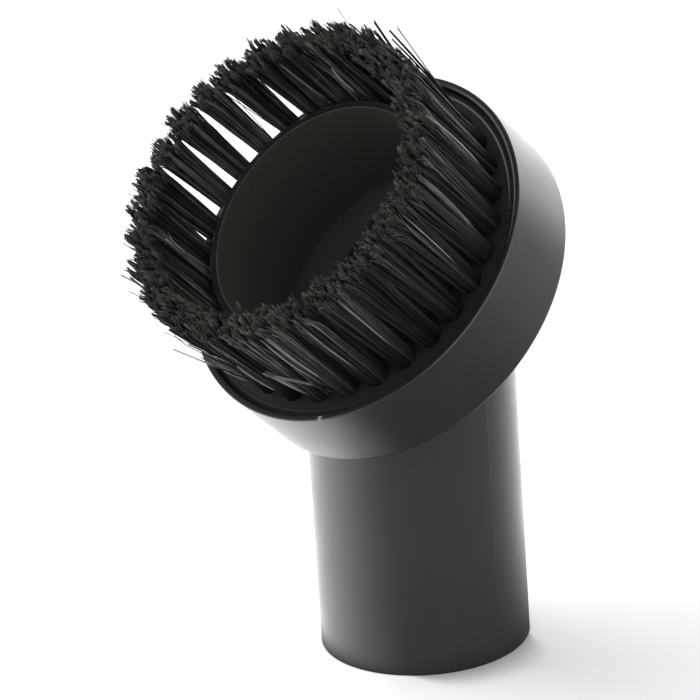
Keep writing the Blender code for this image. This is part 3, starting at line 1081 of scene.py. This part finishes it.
    def heights(self, share: np.ndarray, lock: np.ndarray, apart: np.ndarray,
                chance: Generator) -> np.ndarray:
        """Heights of one tuft's tips along the head's axis.

        Args:
            share: Distance of each filament from the tuft's middle, from 0 to 1.
            lock: Lock of each filament.
            apart: Distance of each filament from its lock's middle.
            chance: Seeded random numbers.

        Returns:
            One height per filament.
        """
        tufts, locks, own = self.reach_scatter
        height = (self.rim_height + self.reach + chance.normal(0.0, tufts)
                  + chance.normal(0.0, locks, self.locks)[lock]
                  + chance.normal(0.0, own, len(share)) - self.crown * share ** self.crown_power
                  - self.lock_crown * np.clip(apart / self.lock_radius, 0.0, self.lock_limit) ** 2)
        for part, least, most, sign in self.odd_lengths:
            odd = chance.random(len(share)) < part
            height[odd] += sign * chance.uniform(least, most, odd.sum())
        return height

    def paths(self, index: int, chance: Generator) -> tuple[np.ndarray, np.ndarray]:
        """Paths and tones of one tuft's filaments.

        Args:
            index: Number of the tuft, from zero.
            chance: Seeded random numbers.

        Returns:
            Filament by step by (out, along the circle, height), in millimetres from the hole, and
            the tone of each filament at each step.
        """
        n = self.filaments
        spiral = np.arange(n) + 0.5
        share = np.sqrt(spiral / n)
        turn = spiral * GOLDEN_TURN + chance.uniform(0.0, 2.0 * math.pi)
        unit = np.column_stack((np.cos(turn), np.sin(turn))) * share[:, None]
        root = unit * self.root_radius
        tip, lock, apart = self.tips(unit, chance)
        cut = np.where(tip[:, 1] > 0.0, self.partings.get(index, 0.0),
                       self.partings.get((index - 1) % self.count, 0.0))
        tip[:, 1] *= 1.0 - cut / self.tip_half[1]
        root[:, 1] *= 1.0 - self.root_parting * cut / self.root_radius
        part, far = self.loose
        loose = chance.random(n) < part
        tip[loose] += chance.normal(0.0, far, (loose.sum(), 2))
        tip += np.array((self.lean * chance.uniform(*self.lean_share),
                         chance.normal(0.0, self.lean_along)))
        height = self.heights(share, lock, apart, chance)[:, None]
        z = self.hole_start + (height - self.hole_start) * np.array(self.levels)
        free = np.clip((z - self.ring_top) / (height - self.ring_top), 0.0, 1.0)
        path = root[:, None] + (tip - root)[:, None] * (free ** self.flare_power)[..., None]
        crimp = chance.normal(0.0, self.crimp, (n, 1, 2)) * np.sin(
            free * chance.uniform(*self.crimp_waves, (n, 1))
            + chance.uniform(*self.crimp_start, (n, 1)))[..., None]
        curl = np.clip((z - height) / self.curl_length + 1.0, 0.0, 1.0) ** self.curl_power
        bend = (chance.normal(0.0, self.curl[0], (self.locks, 2))[lock]
                + chance.normal(0.0, self.curl[1], (n, 2)))
        path = path + crimp * free[..., None] + bend[:, None] * curl[..., None]
        # painted fill light: the inner side of each tuft is paler low down, where it stands in
        # shade
        inner = np.clip(self.painted_fill_middle - unit[:, :1], 0.0, 1.0)
        dust_and_painted_fill = self.dust_and_painted_fill * inner * (1.0 - free ** self.painted_fill_power)
        # painted shade: the tone rises from root to tip, darker low down where the tufts stand in
        # shade
        low, rise = self.tone
        own, locks = self.tone_scatter
        tone = np.clip(low + rise * free + chance.normal(0.0, own, (n, 1)) + dust_and_painted_fill
                       + chance.normal(0.0, locks, self.locks)[lock][:, None],
                       0.0, self.tone_limit)
        return np.concatenate((path, z[..., None]), axis=2), tone

    def build(self, material: Material) -> list[Object]:
        """Make the tufts and dress them.

        Args:
            material: Material of the filaments.

        Returns:
            The thirty tufts.
        """
        tufts = []
        for index in range(self.count):
            chance = np.random.default_rng(self.seed + index)
            path, tone = self.paths(index, chance)
            turn = self.angle(index) + path[..., 1] / self.circle
            radius = self.circle + path[..., 0]
            world = self.head.place(radius * np.cos(turn), radius * np.sin(turn), path[..., 2])
            world = world.reshape(path.shape)
            side, rise = math.cos(self.angle(index)), math.sin(self.angle(index))
            out, across = self.head.direction(side, rise), self.head.direction(-rise, side)
            bundle = FilamentBundle()
            bundle.add(world, self.radius * chance.uniform(*self.radius_share, self.filaments),
                       tone, chance.uniform(0.0, self.section_turn, self.filaments), out, across)
            root = (self.circle * side, self.circle * rise, self.hole_start)
            for stray in (s for s in self.strays if s.tuft == index):
                path, tone = stray.paths(root, len(self.levels), chance)
                world = self.head.place(path[..., 0], path[..., 1], path[..., 2])
                bundle.add(world.reshape(path.shape), np.full(len(path), stray.radius), tone,
                           chance.uniform(self.stray_turn, self.section_turn, len(path)),
                           out, across)
            tuft = bundle.build(f"filament_tuft_{index + 1:02d}", material)
            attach(tuft, ROOT_BODY)
            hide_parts(f"bristle_tuft_{index + 1:02d}")
            tufts.append(tuft)
        return tufts


@dataclass(frozen=True)
class Surroundings:
    """The room that the plastic mirrors: dim on one side, overexposed on the other, dark above."""

    fill: float = 0.9           # even light that falls on the brush from all round
    dim: float = 0.75           # brightness that is mirrored on the dim side
    bright: float = 3.2         # and on the lit side, where the paper is overexposed
    bright_from: Triple = (-0.990, 0.142, 0.0)
    bright_edge: Pair = (-0.23, 0.21)   # how far a direction faces it, from dim to bright
    ceiling: float = 0.12       # and above, where the room is dark
    ceiling_edge: Pair = (0.26, 0.68)   # rise of a direction, from the walls to the ceiling

    def make(self) -> World:
        """Make the light from all round, which the camera sees as plain white.

        Returns:
            The finished world.
        """
        world = bpy.data.worlds.new("white_surroundings")
        world.use_nodes = True
        tree = world.node_tree
        tree.nodes.clear()
        ray = add_node(tree, "LightPath").outputs
        direction = add_node(tree, "TexCoord").outputs["Generated"]
        walls = remap(tree, facing(tree, direction, self.bright_from), self.bright_edge,
                      (self.dim, self.bright), Change.SOFT)
        height = add_node(tree, "SeparateXYZ", {"Vector": direction}).outputs["Z"]
        above = remap(tree, height, self.ceiling_edge, change=Change.SOFT)
        room = blend(tree, Mixed.VALUES, above, walls, self.ceiling)
        light = blend(tree, Mixed.VALUES, ray["Is Glossy Ray"], self.fill, room)
        seen = compute(tree, "MAXIMUM", ray["Is Camera Ray"], ray["Is Transmission Ray"])
        shader = add_node(tree, "Background", {
            "Color": linear("#ffffff"), "Strength": blend(tree, Mixed.VALUES, seen, light, 1.0)})
        add_node(tree, "OutputWorld", {"Surface": shader.outputs["Background"]})
        return world


@dataclass(frozen=True)
class PaperSweep:
    """Matt white paper, sized with clay, that curves away out of sight.

    The eye sees white paper with a small grey shadow where the foot meets it and a long faint one
    behind. The small one is partly cast and partly painted, a greyer paper colour at the foot, and
    both are shaped by painted white that only the camera sees, less of it at the foot and on the
    side away from the light. The plastic mirrors it as bright on its lit side and dark close to
    the foot, a painted reflection: the paper glows only for mirrored rays, and those rays find it
    partly black, most near the foot and at steep angles.
    """

    foot_y: float               # the tube's axis, in metres
    room: Surroundings
    name: str = "matt_white_paper_sweep"
    colour: str = "#f1eff2"
    # painted shadow: greyer paper at the foot
    painted_shadow_colour: str = "#d4d2d5"
    foot_edge: float = 0.018    # reach of the contact shadow in the plastic, in metres
    contact_reach: float = 0.0272       # and on the paper, on the side away from the light
    contact_edge: Pair = (-1.0, -0.68)  # where it tapers away round the foot
    contact_taper: float = 1.03         # what is left of it there, in foot edges
    glow_from: Triple = (-0.966, 0.259, 0.0)    # lit side of the paper near the brush
    glow_about: Triple = (0.010, 0.005, 0.0)    # point that the side is taken from, in metres
    glow_edge: Pair = (-0.65, 0.55)
    glow_power: float = 1.5
    glow_range: Pair = (0.15, 0.6)      # metres to where it follows the room
    shaded_side: Triple = (0.342, 0.940, 0.0)
    shaded_edge: Pair = (0.35, 0.85)
    shaded_reach: Pair = (1.3, 3.6)     # of the mirrored shadow, in foot edges
    side_lift: Pair = (0.14, 0.4)       # painted white that only the camera sees, by the lit side; less of it away from the light shapes the shadow
    open_front: Triple = (0.289, -0.957, 0.0)
    front_edge: Pair = (0.2, 1.0)
    front_lift: Pair = (0.0, 0.22)      # and what the open front adds
    slant: Pair = (0.25, 0.65)          # of a mirrored ray, where 1 grazes
    slant_light: Pair = (0.2, 0.8)      # share of the paper's light that such rays find
    foot_light: Pair = (0.4, 1.0)       # and share beside the foot and in the open

    def make(self) -> Material:
        """Build the material.

        Returns:
            The finished material.
        """
        material, tree = new_material(self.name)
        ray = add_node(tree, "LightPath").outputs
        place = add_node(tree, "NewGeometry").outputs["Position"]
        away = steer(tree, "SUBTRACT", place, (0.0, self.foot_y, 0.0))
        length = add_node(tree, "VectorMath", {0: away}, operation="LENGTH").outputs["Value"]
        unit = steer(tree, "NORMALIZE", away)
        behind = facing(tree, unit, self.room.bright_from)
        # painted reflection: how bright the paper glows for mirrored rays on its lit side, near the
        # brush and far off as in the room
        front = steer(tree, "NORMALIZE", steer(tree, "SUBTRACT", place, self.glow_about))
        near = compute(tree, "POWER", remap(
            tree, facing(tree, front, self.glow_from), self.glow_edge), self.glow_power)
        far = remap(tree, behind, self.room.bright_edge, change=Change.SOFT)
        distance = remap(tree, length, self.glow_range, change=Change.SOFT)
        glowing = compute(tree, "MULTIPLY", blend(tree, Mixed.VALUES, distance, near, far),
                          self.room.bright - self.room.dim)
        # how far from the foot the plastic mirrors the open paper
        low, high = self.shaded_reach
        reach = remap(tree, facing(tree, unit, self.shaded_side), self.shaded_edge,
                      (self.foot_edge * low, self.foot_edge * high), Change.SOFT)
        open_floor = remap(tree, length, (self.foot_edge, reach))
        lit = compute(tree, "MULTIPLY", open_floor, glowing)
        # painted contact shadow on the paper, a greyer colour and less camera-only white at the
        # foot, and the white beyond it
        crescent = remap(tree, behind, self.contact_edge,
                         (self.contact_reach, self.foot_edge * self.contact_taper), Change.SOFT)
        clear = remap(tree, length, (self.foot_edge, crescent), change=Change.SOFT)
        forward = remap(tree, facing(tree, unit, self.open_front), self.front_edge,
                        self.front_lift)
        open_side = compute(tree, "ADD", remap(tree, near, goal=self.side_lift), forward)
        lift = compute(tree, "MULTIPLY", ray["Is Camera Ray"],
                       compute(tree, "MULTIPLY", open_side, clear))
        # painted reflection and camera-only white: the paper glows though it is no lamp
        glow = add_node(tree, "Emission", {
            "Strength": compute(tree, "MULTIPLY_ADD", ray["Is Glossy Ray"], lit, lift)})
        # how much of the paper's own light the plastic mirrors
        slant = remap(tree, add_node(tree, "LayerWeight").outputs["Facing"], self.slant,
                      self.slant_light, Change.SOFT)
        shown = compute(tree, "MULTIPLY", slant, remap(tree, open_floor, goal=self.foot_light))
        # painted reflection: the rest of the paper is black to mirrored rays
        held_back = compute(tree, "MULTIPLY", ray["Is Glossy Ray"],
                            compute(tree, "SUBTRACT", 1.0, shown))
        paper = add_node(tree, "BsdfDiffuse", {
            "Color": ramp(tree, clear, [(0.0, self.painted_shadow_colour), (1.0, self.colour)])})
        black = add_node(tree, "BsdfDiffuse", {"Color": linear("#000000")})
        sheen = add_node(tree, "MixShader", {
            0: held_back, 1: paper.outputs["BSDF"], 2: black.outputs["BSDF"]})
        total = add_node(tree, "AddShader", {
            0: sheen.outputs["Shader"], 1: glow.outputs["Emission"]})
        add_node(tree, "OutputMaterial", {"Surface": total.outputs["Shader"]})
        return material


@dataclass
class Studio:
    """Pale floor, soft light and the camera at the photograph's angle."""

    foot_y: float               # the tube's axis, in metres
    room: Surroundings = Surroundings()
    floor_half: float = 6000.0
    azimuth: float = math.radians(46.83)
    elevation: float = math.radians(21.50987)
    roll: float = math.radians(-3.80799)
    distance: float = 1.1
    pixels_per_mm: float = 5.808169
    image_width: int = 700
    sensor: float = 36.0
    clip_end: float = 50.0
    target: Triple = (-0.00683, 0.00628, 0.05403)
    softbox_turn: float = math.radians(118.0)       # to the left of the camera, from above
    softbox_rise: float = math.radians(58.0)
    softbox_distance: float = 0.85
    softbox_side: float = 0.8
    softbox_radiance: float = 1.2   # brightness of its face, where 1 is white
    softbox_aim: Triple = (0.0, 0.0, 0.06)

    def away(self, azimuth: float, elevation: float) -> Vector:
        """Direction from the brush to a place round it."""
        return Vector((math.sin(azimuth) * math.cos(elevation),
                       -math.cos(azimuth) * math.cos(elevation), math.sin(elevation)))

    def camera(self) -> Object:
        """Place the camera that the photograph was taken with.

        Returns:
            The camera object.
        """
        right = Vector((math.cos(self.azimuth), math.sin(self.azimuth), 0.0))
        back = self.away(self.azimuth, self.elevation)
        above = back.cross(right)
        across = right * math.cos(self.roll) + above * math.sin(self.roll)
        up = above * math.cos(self.roll) - right * math.sin(self.roll)
        data = bpy.data.cameras.new("photo_camera")
        data.sensor_width = self.sensor
        data.sensor_fit = "HORIZONTAL"
        data.lens = self.pixels_per_mm * self.distance / MM * self.sensor / self.image_width
        data.clip_end = self.clip_end
        camera = bpy.data.objects.new("photo_camera", data)
        place = Vector(self.target) + back * self.distance
        camera.matrix_world = Matrix.Translation(place) @ Matrix(
            (across, up, back)).transposed().to_4x4()
        bpy.context.scene.collection.objects.link(camera)
        bpy.context.scene.camera = camera
        return camera

    def floor(self) -> Object:
        """Lay the pale floor, which keeps the shadow and is white to the camera elsewhere.

        Returns:
            The floor object.
        """
        half = self.floor_half
        points = np.array(((-half, -half, 0.0), (half, -half, 0.0), (half, half, 0.0),
                           (-half, half, 0.0)))
        floor = add_piece("studio_floor", points, [(0, 1, 2, 3)],
                          PaperSweep(self.foot_y, self.room).make(), Shading.FLAT)
        return floor

    def softbox(self) -> Object:
        """Hang the soft light that faces the brush from above.

        Returns:
            The light object.
        """
        data = bpy.data.lights.new("overhead_softbox", "AREA")
        data.shape = "RECTANGLE"
        data.size = data.size_y = self.softbox_side
        data.energy = self.softbox_radiance * math.pi * self.softbox_side ** 2
        light = bpy.data.objects.new("overhead_softbox", data)
        away = self.away(self.azimuth - self.softbox_turn, self.softbox_rise)
        light.location = Vector(self.softbox_aim) + away * self.softbox_distance
        light.rotation_euler = away.to_track_quat("Z", "Y").to_euler()
        light.visible_glossy = False
        bpy.context.scene.collection.objects.link(light)
        return light

    def build(self) -> None:
        """Set up the whole studio."""
        self.camera()
        self.floor()
        bpy.context.scene.world = self.room.make()
        self.softbox()


def dress_node(name: str, material: Material, width: float = 0.35,
               sharp: float = 50.0) -> Object:
    """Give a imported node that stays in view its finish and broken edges.

    Args:
        name: Name of the CAD node.
        material: Its new material.
        width: Width of the broken edges.
        sharp: Least angle of an edge that is broken, in degrees.

    Returns:
        The node's object.
    """
    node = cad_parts[name]
    node.data.materials.clear()
    node.data.materials.append(material)
    edge = node.modifiers.new("broken_edges", "BEVEL")
    edge.width = width * MM
    edge.segments = 2
    edge.limit_method = "ANGLE"
    edge.angle_limit = math.radians(sharp)
    return node


def main() -> None:
    """Build the brush piece by piece, then the studio."""
    logging.basicConfig(level=logging.INFO, format="%(message)s")
    bpy.context.scene.view_settings.view_transform = "Standard"
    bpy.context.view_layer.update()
    head = HeadFrame.on(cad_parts["brush_body"])
    LOG.info("tube axis at y = %.3f mm", head.axis_y)
    matt = MattPolypropylene().make()
    # painted fill light: paler blacks that lift the shade inside the sleeve, on its outer wall and
    # floor, and in the airway
    painted_fill_inside = MattPolypropylene(name="black_polypropylene_painted_fill_inside", colour="#4d4d48",
                              dusty_colour="#53534e").make()
    painted_fill_hollow = MattPolypropylene(name="black_polypropylene_painted_fill_hollow", colour="#3f3f3b",
                               dusty_colour="#454541").make()
    glossy = MouldedPolypropylene().make()
    body = BrushBody(head).build(glossy, matt, painted_fill_inside, painted_fill_hollow)
    LOG.info("%s: %d faces", body.name, len(body.data.polygons))
    ring = dress_node("bristle_ring", matt)
    edge = RingEdge(head).build(matt)
    LOG.info("%s, %s: %d faces", ring.name, edge.name,
             len(ring.data.polygons) + len(edge.data.polygons))
    tufts = TuftRing(head).build(DrawnFilament().make())
    LOG.info("%d tufts: %d faces", len(tufts), sum(len(t.data.polygons) for t in tufts))
    Studio(foot_y=head.axis_y * MM).build()
    bpy.context.view_layer.update()


if __name__ == "__main__":
    main()
